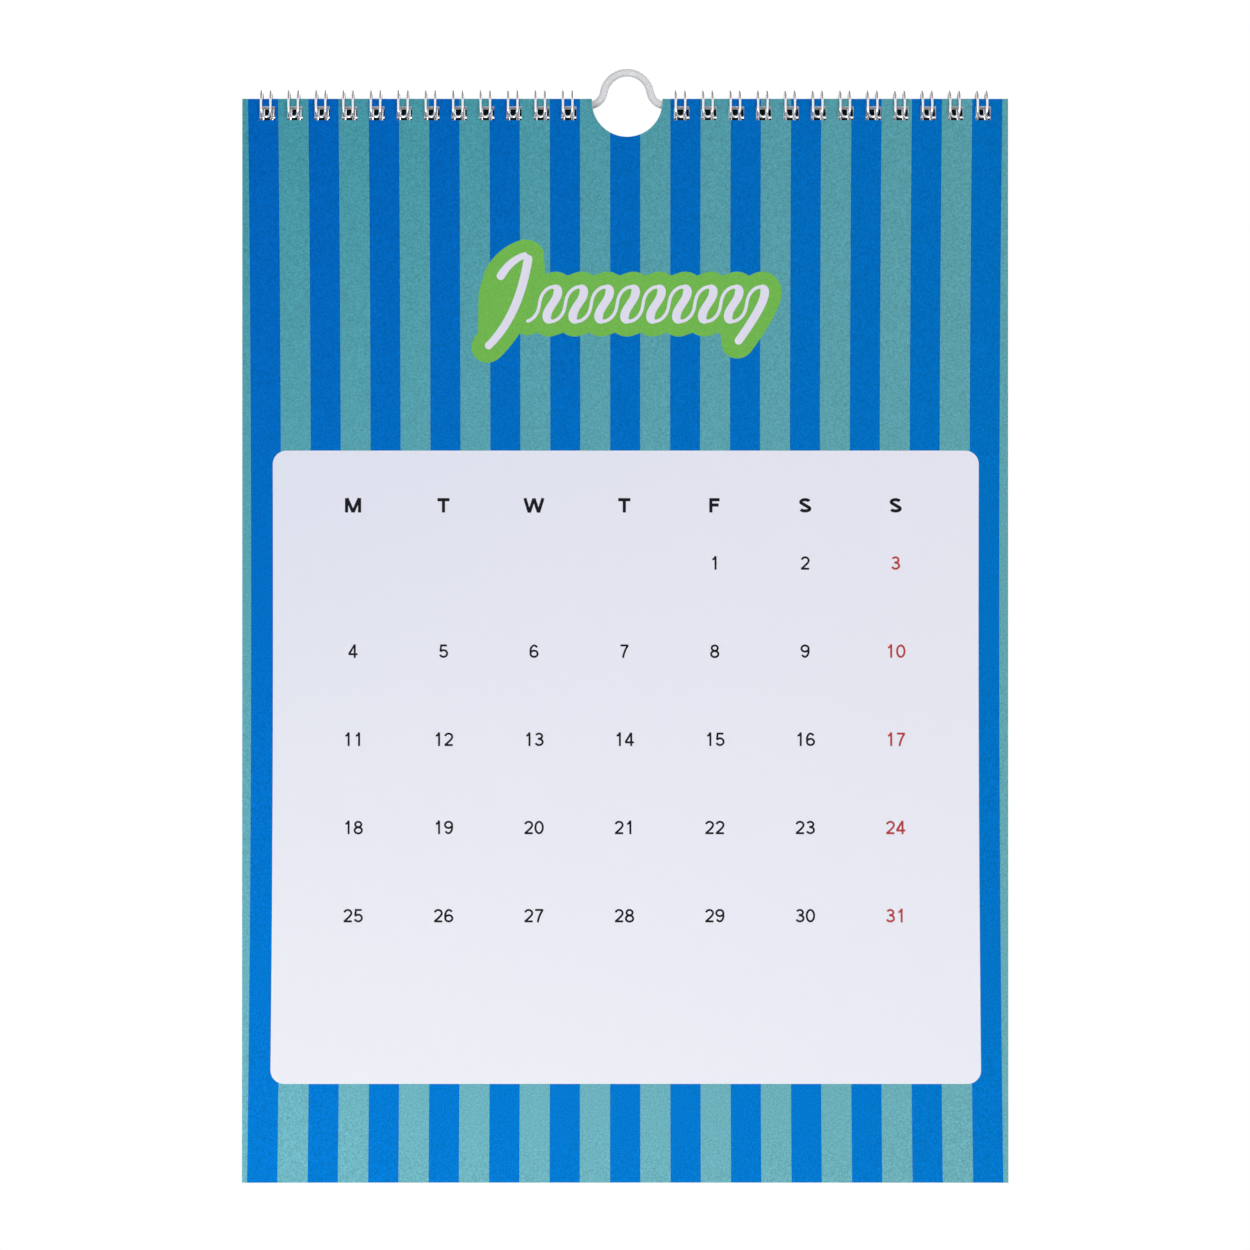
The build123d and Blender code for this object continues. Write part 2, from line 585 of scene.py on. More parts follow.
@dataclass(frozen=True)
class GreyBoard(Paper):
    """Recycled grey board, pressed from pulp: flat and matt, flecked with darker and paler fibres.

    Attributes:
        fleck: the spacing of the flecks.
        fleck_detail: how many finer sizes they have.
        fleck_warp: how far they are drawn out of shape.
        fleck_range: the noise's values where a fleck starts and where it is full.
        fleck_colour: their colour as sRGB hex.
    """

    mottle: float = 0.10
    fleck: float = 1.6 * MM
    fleck_detail: float = 4.0
    fleck_warp: float = 1.5
    fleck_range: Pair = (0.58, 0.72)
    fleck_colour: str = "8F8A80"

    def colour_of(self, tree: Tree, place: Any) -> tuple[Any, Any]:
        """Strew the flecks.

        Args:
            tree: the material's nodes.
            place: the Object coordinates.

        Returns:
            The colour's socket and how strong the mottling is.
        """
        strewn = {
            "Vector": place,
            "Scale": 1 / self.fleck,
            "Detail": self.fleck_detail,
            "Distortion": self.fleck_warp,
        }
        flecks = add(tree, "ShaderNodeTexNoise", None, strewn).outputs[0]
        start, full = self.fleck_range
        band = {"Value": flecks, "From Min": start, "From Max": full}
        seen = add(tree, "ShaderNodeMapRange", None, band).outputs[0]
        tints = {"Factor": seen, 6: linear(self.colour), 7: linear(self.fleck_colour)}
        return add(tree, "ShaderNodeMix", COLOUR_MIX, tints).outputs[2], self.mottle


@dataclass(frozen=True)
class DrawnWire(Finish):
    """Galvanised steel wire, drawn and formed: a soft silver gloss, slightly uneven along the wire.

    Attributes:
        streak: the size of the drawing marks.
        uneven: how far they move the roughness.
    """

    metallic: float = 1.0
    roughness: float = 0.24
    depth: float = 0.003 * MM
    relief_share: float = 0.25
    streak: float = 0.5 * MM
    uneven: float = 0.12

    def dress(self, tree: Tree, shader: Node) -> None:
        """Vary the gloss along the wire and raise the drawing marks.

        Args:
            tree: the material's nodes.
            shader: the node that takes the roughness and the relief.
        """
        place = add(tree, "ShaderNodeTexCoord").outputs["Object"]
        drawn = {"Vector": place, "Scale": 1 / self.streak}
        marks = add(tree, "ShaderNodeTexNoise", None, drawn).outputs[0]
        low, high = self.roughness - self.uneven / 2, self.roughness + self.uneven / 2
        gloss = add(tree, "ShaderNodeMapRange", None, {"Value": marks, "To Min": low, "To Max": high})
        tree.links.new(gloss.outputs[0], shader.inputs["Roughness"])
        self.relief(tree, shader, marks)


@dataclass(frozen=True)
class NylonCoat(Finish):
    """White nylon melted on to a steel wire: smooth and satiny, with a faint orange peel.

    Attributes:
        peel: the spacing of the orange peel.
        peel_detail: how many finer sizes it has.
    """

    roughness: float = 0.3
    depth: float = 0.003 * MM
    relief_share: float = 0.15
    peel: float = 2.2 * MM
    peel_detail: float = 1.0

    def dress(self, tree: Tree, shader: Node) -> None:
        """Raise the orange peel.

        Args:
            tree: the material's nodes.
            shader: the node that takes the relief.
        """
        place = add(tree, "ShaderNodeTexCoord").outputs["Object"]
        waves = {"Vector": place, "Scale": 1 / self.peel, "Detail": self.peel_detail}
        self.relief(tree, shader, add(tree, "ShaderNodeTexNoise", None, waves).outputs[0])


WIRE_METAL = DrawnWire("galvanised_steel_wire", "F0F0F3")
WIRE_COAT = NylonCoat("white_nylon_coat", "DEDFE2")
LEAF_PAPER = Paper("wood_free_paper", "ECECF2")
BOARD = GreyBoard("recycled_grey_board", "B4AFA5")
BLACK_INK = Paper("black_offset_ink", "0C0C14")
RED_INK = Paper("red_offset_ink", "B93A3B")
GREEN_INK = Paper("green_offset_ink", "74BB52", specular=0.03, fibre=0.5 * MM, mottle=0.6)
PALE_INK = Paper("bare_paper_lavender", "E4E1F3")


@dataclass
class Page:
    """Where the page hangs, from the frame, and how it is punched. All sheets share it.

    The thumb cut is under the hanger's hump, at X = 0, and the holes keep to the page's own middle.
    """

    hole_width: float = 4.7 * MM
    hole_height: float = 4.3 * MM
    hole_margin: float = 2.3 * MM
    thumb_radius: float = 10.9 * MM
    thumb_depth: float = 11.7 * MM
    gap: float = 34.8 * MM
    pitch: float = 8.466667 * MM
    loops: int = 12
    width: float = field(init=False)
    height: float = field(init=False)
    middle: float = field(init=False)
    top: float = field(init=False)

    def __post_init__(self) -> None:
        """Read the page's size, its middle and its top edge from the front leaf's node."""
        low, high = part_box("front_leaf")
        self.width = high.x - low.x
        self.height = high.z - low.z
        self.middle = (low.x + high.x) / 2
        self.top = high.z

    def holes(self, side: Side) -> np.ndarray:
        """Give the middles of one comb's holes, from left to right."""
        places = side.value * (self.gap / 2 + self.pitch * np.arange(self.loops))
        return self.middle + np.sort(places)


@dataclass
class TwinLoopComb:
    """One comb of twin-loop wire, closed into rings that pass through the holes."""

    page: Page
    side: Side
    wire: float = 0.84 * MM
    ring: float = 8.8 * MM
    drop: float = 1.62 * MM
    strand_gap: float = 2.91 * MM
    slack: float = 0.34 * MM
    tip_angle: float = 16.0
    tip_curl: float = 32.0
    tip_lean: float = 20.0
    heel_angle: float = 76.0
    heel_radius: float = 0.9 * MM
    stations_per_radian: float = 7.0
    section_sides: int = 14

    @property
    def ring_y(self) -> float:
        """The middle of the rings is the middle of what is bound behind the seam."""
        front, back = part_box("rear_leaves")[0].y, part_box("backing_board")[1].y
        return (front + back) / 2

    def count(self, angle: float) -> int:
        """Give the number of stations on an arc of so many radians."""
        return 2 + math.ceil(abs(angle) * self.stations_per_radian)

    def on_ring(self, degrees: np.ndarray) -> WireRun:
        """Walk the strand's own ring.

        At an angle a below the front, a strand is radius * cos(a) in front of the ring's middle and
        radius * sin(a) below it, and it is walked with a falling.

        Args:
            degrees: the angles below the front, falling.

        Returns:
            The run.
        """
        a = np.radians(degrees)
        zero = np.zeros_like(a)
        radius = self.ring / 2
        across = zero + self.strand_gap / 2
        places = np.stack([across, -radius * np.cos(a), -radius * np.sin(a)], axis=1)
        return WireRun(places, np.stack([zero, -np.sin(a), np.cos(a)], axis=1))

    def turn_aside(self, at: np.ndarray, heading: np.ndarray, aside: np.ndarray, radius: float) -> WireRun:
        """Walk the arc that takes the wire from a heading to straight aside.

        Args:
            at: where it starts.
            heading: the unit direction there, which may already lean aside.
            aside: the unit direction at the end.
            radius: the arc's radius.

        Returns:
            The run.
        """
        ahead = heading - aside * (heading @ aside)
        ahead /= np.linalg.norm(ahead)
        left = math.acos(min(1.0, heading @ ahead))
        toward = aside * math.cos(left) - ahead * math.sin(left)
        angle = math.pi / 2 - left
        return arc_run(at, heading, toward, radius, angle, self.count(angle))

    def half_loop(self) -> WireRun:
        """Walk the right half of one loop, from the middle of its nose to the middle of its link.

        The tip closes in on the loop's middle while it keeps to the ring, then rounds its nose. The
        heel turns from the ring into the straight that links this loop with the next.

        Returns:
            The run, with the middle of the loop at X = 0 and the middle of the ring at zero.
        """
        right = np.array([1.0, 0.0, 0.0])
        first, last = self.tip_angle, self.heel_angle - 360
        angles = np.linspace(first, last, self.count(math.radians(first - last)))
        strand = self.on_ring(angles)
        top, down = strand.places[0], -strand.headings[0]
        inward = -np.array([0.0, top[1], top[2]]) / (self.ring / 2)
        lean = math.radians(self.tip_lean)
        toward = inward * math.cos(lean) - right * math.sin(lean)
        curl = math.radians(self.tip_curl)
        closing = arc_run(top, down, toward, self.ring / 2 * math.cos(lean), curl, self.count(curl))
        end, heading = closing.places[-1], closing.headings[-1]
        nose_radius = end[0] / math.sqrt(1 - heading[0] ** 2)
        nose = self.turn_aside(end, heading, -right, nose_radius)
        heel = self.turn_aside(strand.places[-1], strand.headings[-1], right, self.heel_radius)
        start = heel.places[-1]
        stop = np.array([self.page.pitch / 2, start[1], start[2]])
        link = WireRun(np.stack([start, stop]), np.stack([right, right]))
        return WireRun.chained([nose.backward(), closing.backward(), strand, heel, link])

    def build(self) -> Object:
        """Sweep the wire through all the loops.

        Each loop is a half and its mirror image. The direction away from the rings' common middle
        line is never along the wire, so it gives the section its first spoke.

        Returns:
            The comb, riding with what it binds.
        """
        half = self.half_loop()
        loop = WireRun.chained([half.mirrored(), half])
        places = self.page.holes(self.side) - self.slack
        moves = [np.array([x, self.ring_y, self.page.top - self.drop]) for x in places]
        run = WireRun.chained([WireRun(loop.places + move, loop.headings) for move in moves])
        lean = run.places - np.array([0.0, moves[0][1], moves[0][2]])
        lean[:, 0] = 0.0
        radii = np.full(len(run.places), self.wire / 2)
        points, faces = tube(run, lean, radii, self.section_sides)
        name = f"{self.side.name.lower()}_comb_wire"
        made = make_object(name, points, faces, [WIRE_METAL.material()], smooth=True)
        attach(made, "binding")
        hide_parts(f"wire_comb_{self.side.name.lower()}")
        return made


@dataclass
class HangerWire:
    """The coated wire that takes the nail: a hump between two long arms."""

    page: Page
    wire: float = 2.4 * MM
    hump_radius: float = 7.3 * MM
    flare_radius: float = 4.85 * MM
    rise: float = 8.75 * MM
    arm_drop: float = 1.4 * MM
    end_round: float = 0.5 * MM
    section_sides: int = 32
    arc_stations: int = 28
    end_stations: int = 6

    def half(self) -> WireRun:
        """Walk the right half from the top of the hump to the start of the arm's rounded end.

        The hump and the flare are circles that touch. The line between their middles leans by the
        slope, and the wire passes from one to the other where it crosses that line.

        Returns:
            The run, in the hanger's plane.
        """
        hump_z = self.page.top + self.rise - self.hump_radius
        arm_z = self.page.top - self.arm_drop
        flare_z = arm_z + self.flare_radius
        apart = self.hump_radius + self.flare_radius
        slope = math.asin((flare_z - hump_z) / apart)
        flare_x = apart * math.cos(slope)
        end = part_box("hanger")[1].x - self.end_round

        a = np.linspace(math.pi / 2, slope, self.arc_stations)
        b = np.linspace(math.pi + slope, 1.5 * math.pi, self.arc_stations)
        # each with its middle, its radius, its angles and -1 where they fall
        circles = ((0.0, hump_z, self.hump_radius, a, -1), (flare_x, flare_z, self.flare_radius, b, 1))
        runs = []
        for x, z, radius, turn, sense in circles:
            places = [x + radius * np.cos(turn), 0 * turn, z + radius * np.sin(turn)]
            headings = [-sense * np.sin(turn), 0 * turn, sense * np.cos(turn)]
            runs.append(WireRun(np.stack(places, 1), np.stack(headings, 1)))
        along = np.array([1.0, 0.0, 0.0])
        arm = WireRun(np.array([[flare_x, 0, arm_z], [end, 0, arm_z]]), np.stack([along, along]))
        return WireRun.chained([*runs, arm])

    def build(self) -> Object:
        """Sweep the rod and round its two ends.

        On an end, at an angle c, the section has moved on by round * sin(c) and its radius is the
        rod's less round * (1 - cos(c)).

        Returns:
            The hanger.
        """
        half = self.half()
        c = np.linspace(0, math.pi / 2, self.end_stations)[1:, None]
        tip = half.places[-1] + self.end_round * np.sin(c) * half.headings[-1]
        half = WireRun(
            np.concatenate([half.places, tip]),
            np.concatenate([half.headings, np.repeat(half.headings[-1:], len(c), axis=0)]),
        )
        run = WireRun.chained([half.mirrored(), half])
        radii = np.full(len(run.places), self.wire / 2)
        shrink = self.end_round * (1 - np.cos(c[:, 0]))
        radii[-len(c) :] -= shrink
        radii[: len(c)] -= shrink[::-1]
        lean = np.tile([0.0, 1.0, 0.0], (len(run.places), 1))
        points, faces = tube(run, lean, radii, self.section_sides)
        made = make_object("hanger_wire", points, faces, [WIRE_COAT.material()], smooth=True)
        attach(made, "hanger")
        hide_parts("hanger")
        return made


@dataclass(frozen=True)
class Lie:
    """How a sheet departs from flat: its lower part stands a little forward, more so at the corners.

    Attributes:
        forward: how far the middle of the bottom edge stands forward.
        corner: how much further the bottom corners do.
        start: how far below the top edge the sheet starts to leave the plane.
    """

    forward: float = 0.0
    corner: float = 0.0
    start: float = 30 * MM

    def offset(self, page: Page, x: np.ndarray, below: np.ndarray) -> np.ndarray:
        """Give the sheet's move in Y.

        With s the share of the way from the start to the bottom edge and t the share of the way from
        the page's middle to a side, the sheet stands forward by s^2 * (forward + corner * t^4).

        Args:
            page: the page.
            x: places across.
            below: distances below the top edge.

        Returns:
            The moves, negative towards the front.
        """
        s = np.clip((below - self.start) / (page.height - self.start), 0, 1)
        t = 2 * (x - page.middle) / page.width
        return -(s**2) * (self.forward + self.corner * t**4)


@dataclass
class PunchedSheet:
    """A leaf as it is cut: a thin sheet with its holes and its thumb cut."""

    page: Page
    rows: int = 30
    thumb_columns: int = 40
    blend_depth: float = 15 * MM
    rounding: float = 1e-9

    def lines(self) -> tuple[np.ndarray, np.ndarray]:
        """Give the grid's columns and rows.

        The columns are the two sides, both edges of each hole and the thumb cut's own, which stand
        at equal steps round its circle. The rows are the top edge, the foot of the cut's straight
        sides, the holes' two edges, the line where the cut's bulge ends, and even steps below.

        Returns:
            Places across, and distances below the top edge.
        """
        page = self.page
        middles = np.concatenate([page.holes(side) for side in Side])
        edges = [middles - page.hole_width / 2, middles + page.hole_width / 2]
        turn = np.linspace(0, math.pi, self.thumb_columns)
        thumb = page.thumb_radius * np.cos(turn)
        sides = page.middle + np.array([-0.5, 0.5]) * page.width
        x = np.unique(np.concatenate([sides, *edges, thumb]))
        foot = page.thumb_depth - page.thumb_radius
        hole = page.hole_margin + page.hole_height
        below = np.linspace(self.blend_depth, page.height, self.rows)
        return x, np.concatenate([[0.0, foot, page.hole_margin, hole], below])

    def shell(self, front: float, back: float, lie: Lie, shift: Pair = (0, 0)) -> Shell:
        """Close the sheet.

        Inside the thumb cut the rows from the cut's foot to the blend line are pressed down between
        the circle and that line: the circle lies at foot + sqrt(radius^2 - x^2).

        Args:
            front: the Y of the front face.
            back: the Y of the rear face.
            lie: how the sheet departs from flat.
            shift: how far the whole sheet has slipped, across and up.

        Returns:
            The closed sheet.
        """
        page = self.page
        columns, rows = self.lines()
        x, below = np.meshgrid(columns, rows)
        foot = rows[1]
        within = np.abs(x) < page.thumb_radius * (1 - self.rounding)
        circle = foot + np.sqrt(np.clip(page.thumb_radius**2 - x**2, 0, None))
        share = np.clip((below - foot) / (self.blend_depth - foot), 0, 1)
        bulged = circle + share * (self.blend_depth - circle)
        below = np.where(within & (below >= foot) & (below < self.blend_depth), bulged, below)

        middle_x = (columns[:-1] + columns[1:]) / 2
        middle_row = (rows[:-1] + rows[1:]) / 2
        holes = np.concatenate([page.holes(side) for side in Side])
        in_hole_column = np.any(np.abs(middle_x[:, None] - holes) < page.hole_width / 2, axis=1)
        in_hole_row = np.abs(middle_row - page.hole_margin - page.hole_height / 2) < page.hole_height / 2
        in_thumb = (np.abs(middle_x) < page.thumb_radius)[None] & (middle_row < foot)[:, None]
        keep = ~(in_hole_row[:, None] & in_hole_column[None]) & ~in_thumb

        move = lie.offset(page, x, below)
        z = page.top - below + shift[1]
        faces = [np.stack([x + shift[0], y + move, z], -1) for y in (front, back)]
        return plate(faces[0], faces[1], keep)


@dataclass
class FrontLeaf:
    """The month that shows, with all that is printed on it."""

    page: Page
    lie: Lie = Lie(0.8 * MM, 0.35 * MM)

    @property
    def front(self) -> float:
        """The Y of the printed face."""
        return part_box("front_leaf")[0].y

    def build(self) -> Object:
        """Make the leaf, printed on its front and plain elsewhere.

        Returns:
            The leaf.
        """
        shell = PunchedSheet(self.page).shell(self.front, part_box("front_leaf")[1].y, self.lie)
        printed = StripePrint("stripe_print_on_paper", WHITE, page=self.page)
        sides = [printed.material(), LEAF_PAPER.material()]
        side_of_face = np.where(shell.front, 0, 1)
        made = make_object("front_leaf_sheet", shell.points, shell.faces.tolist(), sides, side_of_face)
        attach(made, "front_leaf")
        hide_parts("front_leaf")
        return made


@dataclass
class RearLeaves:
    """The leaves behind the front one, each a sheet of its own in one piece."""

    page: Page
    count: int = 12
    air: float = 0.02 * MM
    slip: float = 0.09 * MM
    fan: float = 0.5 * MM
    fan_corner_share: float = 0.3
    rows: int = 12
    thumb_columns: int = 30
    seed: int = 4

    def build(self) -> Object:
        """Stack the sheets from the board forward, each slipped a little and fanned a little more.

        Returns:
            The leaves.
        """
        low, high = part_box("rear_leaves")
        step = (high.y - low.y) / self.count
        slips = np.random.default_rng(self.seed).uniform(-self.slip, self.slip, (self.count, 2))
        sheet = PunchedSheet(self.page, self.rows, self.thumb_columns)
        shells = []
        for number, slipped in enumerate(slips):
            back = high.y - number * step
            forward = self.fan * number / self.count
            lie = Lie(forward, self.fan_corner_share * forward)
            shells.append(sheet.shell(back - step + self.air, back, lie, tuple(slipped)))
        shell = Shell.joined(shells)
        material = LEAF_PAPER.material()
        made = make_object("rear_leaf_stack", shell.points, shell.faces.tolist(), [material])
        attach(made, "binding")
        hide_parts("rear_leaves")
        return made


@dataclass
class BackingBoard:
    """The stiff board behind the leaves. Its CAD node has its true shape and stays."""

    node: Object

    def dress(self) -> Object:
        """Give the board its material.

        Returns:
            The board's node.
        """
        self.node.data.materials.clear()
        self.node.data.materials.append(BOARD.material())
        return self.node


def bow(
    x: float, y: float, wide: float, tall: float, start: float, stop: float, count: int = 28
) -> np.ndarray:
    """Walk an ellipse round x, y from one angle to another, in degrees anticlockwise from the right."""
    a = np.radians(np.linspace(start, stop, count))
    return np.stack([x + wide * np.cos(a), y + tall * np.sin(a)], axis=1)


def curve(start: Pair, pull: Pair, stop: Pair, count: int = 16) -> np.ndarray:
    """Walk a curve from start to stop that is drawn toward a third point.

    A point is (1-t)^2 * start + 2t(1-t) * pull + t^2 * stop.

    Args:
        start: the first point.
        pull: the point that draws it.
        stop: the last point.
        count: the number of points.

    Returns:
        One row of X and Y for each point.
    """
    t = np.linspace(0, 1, count)[:, None]
    a, b, c = (np.array(p, float) for p in (start, pull, stop))
    return (1 - t) ** 2 * a + 2 * t * (1 - t) * b + t**2 * c


def bar(start: Pair, stop: Pair) -> np.ndarray:
    """Walk a straight stroke."""
    return np.array([start, stop], float)


@dataclass(frozen=True)
class StrokeFace:
    """A plain sans face drawn with strokes of one width. Shapes are shares of a figure's height.

    Attributes:
        height: of a figure.
        weight_share: the stroke's width.
        advance_share: from one figure to the next.
    """

    height: float
    weight_share: float = 0.1
    advance_share: float = 0.776

    def strokes(self, sign: str) -> list[np.ndarray]:
        """Give a sign's strokes.

        Args:
            sign: a figure or one of the letters M, T, W, F and S.

        Returns:
            The middle line of each stroke, with the sign's foot at 0 and its head at 1.
        """
        half_share = self.weight_share / 2
        head_share, foot_share = 1 - half_share, half_share
        six_shares = [
            bow(0.01, 0.305, 0.265, 0.305 - half_share, 0, 360),
            bow(0.02, 0.5, 0.275, 0.5 - half_share, 40, 197),
        ]
        two_shares = [
            bow(0, 0.69, 0.26, 0.31 - half_share, 168, -36),
            curve((0.21, 0.537), (0.09, 0.38), (-0.27, foot_share))[1:],
        ]
        notch_shares = [(-0.09, 0.47 + half_share)]
        top_shares = bow(-0.01, 0.735, 0.23, 0.265 - half_share, 158, -90)
        bottom_shares = bow(-0.005, 0.26 + half_share / 2, 0.27, 0.26 - half_share / 2, 90, -160)
        s_shares = [
            bow(0, 0.735, 0.3, 0.265 - half_share, 20, 230, 24),
            bow(0, 0.265, 0.32, 0.265 - half_share, 50, -160, 24),
        ]
        stroke_shares = {
            "0": [bow(0, 0.5, 0.275, 0.5 - half_share, 0, 360, 40)],
            "1": [bar((0.06, 1), (0.06, 0)), bow(-0.22, 1.03, 0.27, 0.27, -2, -82, 10)],
            "2": [np.vstack(two_shares), bar((-0.31, foot_share), (0.3, foot_share))],
            "3": [np.vstack([top_shares, notch_shares]), np.vstack([notch_shares, bottom_shares])],
            "4": [
                bar((0.13, 0.985), (-0.3, 0.29)),
                bar((-0.335, 0.275), (0.33, 0.275)),
                bar((0.125, 1), (0.125, 0)),
            ],
            "5": [
                bar((-0.2, head_share), (0.26, head_share)),
                bar((-0.165, 0.995), (-0.225, 0.47)),
                bow(0.0, 0.325, 0.27, 0.325 - half_share, 148, -160),
            ],
            "6": six_shares,
            "7": [
                bar((-0.29, head_share), (0.3, head_share)),
                curve((0.275, head_share), (0, 0.55), (-0.1, 0)),
            ],
            "8": [
                bow(0, 0.765 - half_share / 2, 0.225, 0.235 - half_share / 2, 0, 360),
                bow(0, 0.265 + half_share / 4, 0.27, 0.265 - half_share / 2, 0, 360),
            ],
            "9": [np.array([0.0, 1.0]) - line for line in six_shares],
            "M": [
                bar((-0.45, 0), (-0.45, 1)),
                bar((-0.43, 1), (0, 0.02)),
                bar((0.43, 1), (0, 0.02)),
                bar((0.45, 0), (0.45, 1)),
            ],
            "T": [bar((-0.42, head_share), (0.42, head_share)), bar((0, head_share), (0, 0))],
            "W": [
                bar((-0.63, 1), (-0.32, 0)),
                bar((-0.32, 0), (0, 0.98)),
                bar((0, 0.98), (0.32, 0)),
                bar((0.32, 0), (0.63, 1)),
            ],
            "F": [
                bar((-0.27, 0), (-0.27, 1)),
                bar((-0.27, head_share), (0.34, head_share)),
                bar((-0.27, 0.52), (0.27, 0.52)),
            ],
            "S": [np.vstack(s_shares)],
        }
        return stroke_shares[sign]

    def line(self, signs: str) -> list[np.ndarray]:
        """Set a few signs side by side, with their common middle at zero.

        Args:
            signs: the signs, from left to right.

        Returns:
            The middle lines of all their strokes, in metres with Y up.
        """
        placed = []
        for number, sign in enumerate(signs):
            move = (number - (len(signs) - 1) / 2) * self.advance_share
            placed += [(stroke + np.array([move, -0.5])) * self.height for stroke in self.strokes(sign)]
        return placed


@dataclass
class InkLayer:
    """What is printed over the leaf: thin plates of ink that follow its face."""

    leaf: FrontLeaf
    film: float = 0.012 * MM
    sink: float = 0.006 * MM
    step: float = 0.002 * MM

    def on_leaf(self, points: np.ndarray, level: int) -> tuple[np.ndarray, np.ndarray]:
        """Lay a grid of places on the leaf's face.

        Args:
            points: the grid, with X from the page's middle and the distance below its top edge.
            level: how many layers of ink lie under this one.

        Returns:
            The film's outer points, and the points under it, just inside the leaf.
        """
        page = self.leaf.page
        x, below = page.middle + points[..., 0], points[..., 1]
        face = self.leaf.front + self.leaf.lie.offset(page, x, below)
        outer = np.stack([x, face - self.film - level * self.step, page.top - below], -1)
        inner = np.stack([x, face + self.sink, page.top - below], -1)
        return outer, inner

    def ribbon(self, line: np.ndarray, half_width: np.ndarray | float, level: int) -> Shell:
        """Lay a ribbon of ink along a line.

        Each point of the line gives two edge points, half the width to each side, square to the
        line's direction there.

        Args:
            line: the middle line, placed as the points of on_leaf.
            half_width: half the ribbon's width, at each point or all along.
            level: how many layers of ink lie under this one.

        Returns:
            The ribbon.
        """
        closed = bool(np.allclose(line[0], line[-1]))
        if closed:
            line = line[:-1]
            ahead = np.roll(line, -1, axis=0) - np.roll(line, 1, axis=0)
        else:
            ahead = np.gradient(line, axis=0)
        ahead /= np.linalg.norm(ahead, axis=1, keepdims=True)
        # below runs down, so a quarter turn to the left of the heading is (below, -across)
        left = np.stack([ahead[:, 1], -ahead[:, 0]], axis=1)
        reach = np.broadcast_to(half_width, len(line))[:, None] * left
        grid = np.stack([line - reach, line + reach], axis=1)
        outer, inner = self.on_leaf(grid, level)
        return plate(outer, inner, closed=closed)

    def finish(self, name: str, shells: list[Shell], material: Material) -> Object:
        """Make a piece of some shells and let it ride with the leaf.

        Args:
            name: the piece's name.
            shells: the shells.
            material: the ink.

        Returns:
            The piece.
        """
        shell = Shell.joined(shells)
        made = make_object(name, shell.points, shell.faces.tolist(), [material])
        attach(made, "front_leaf")
        return made


@dataclass
class MonthGrid:
    """The days of the month in seven columns, under one letter for each day of the week."""

    ink: InkLayer
    letters: str = "MTWTFSS"
    first_column: int = 4
    days: int = 31
    middle: float = -0.27 * MM
    column: float = 27.92 * MM
    head_row: float = 125.54 * MM
    first_row: float = 143.36 * MM
    row: float = 27.22 * MM
    figures: StrokeFace = StrokeFace(4.15 * MM, 0.15)
    capitals: StrokeFace = StrokeFace(4.45 * MM, 0.22)

    def place(self, column: int, below: float) -> np.ndarray:
        """Give the middle of a cell, from the page's middle and below its top edge."""
        return np.array([self.middle + (column - len(self.letters) // 2) * self.column, below])

    def sign_shells(self, face: StrokeFace, signs: str, at: np.ndarray) -> list[Shell]:
        """Lay a few signs on the leaf, each stroke on top of the one before it.

        Args:
            face: how the signs are drawn.
            signs: the signs, from left to right.
            at: their middle, from the page's middle and below its top edge.

        Returns:
            The ribbons of ink.
        """
        half = face.height * face.weight_share / 2
        lines = [at + stroke * UP_TO_BELOW for stroke in face.line(signs)]
        return [self.ink.ribbon(line, half, level) for level, line in enumerate(lines)]

    def build(self) -> list[Object]:
        """Lay the week's letters, the weekdays' numbers and the last column's red ones.

        Returns:
            The three pieces.
        """
        heads, plain, red = [], [], []
        for column, letter in enumerate(self.letters):
            heads += self.sign_shells(self.capitals, letter, self.place(column, self.head_row))
        for day in range(1, self.days + 1):
            row, column = divmod(day - 1 + self.first_column, len(self.letters))
            at = self.place(column, self.first_row + row * self.row)
            into = red if column == len(self.letters) - 1 else plain
            into += self.sign_shells(self.figures, str(day), at)
        black = BLACK_INK.material()
        return [
            self.ink.finish("week_letters", heads, black),
            self.ink.finish("day_numbers", plain, black),
            self.ink.finish("rest_day_numbers", red, RED_INK.material()),
        ]


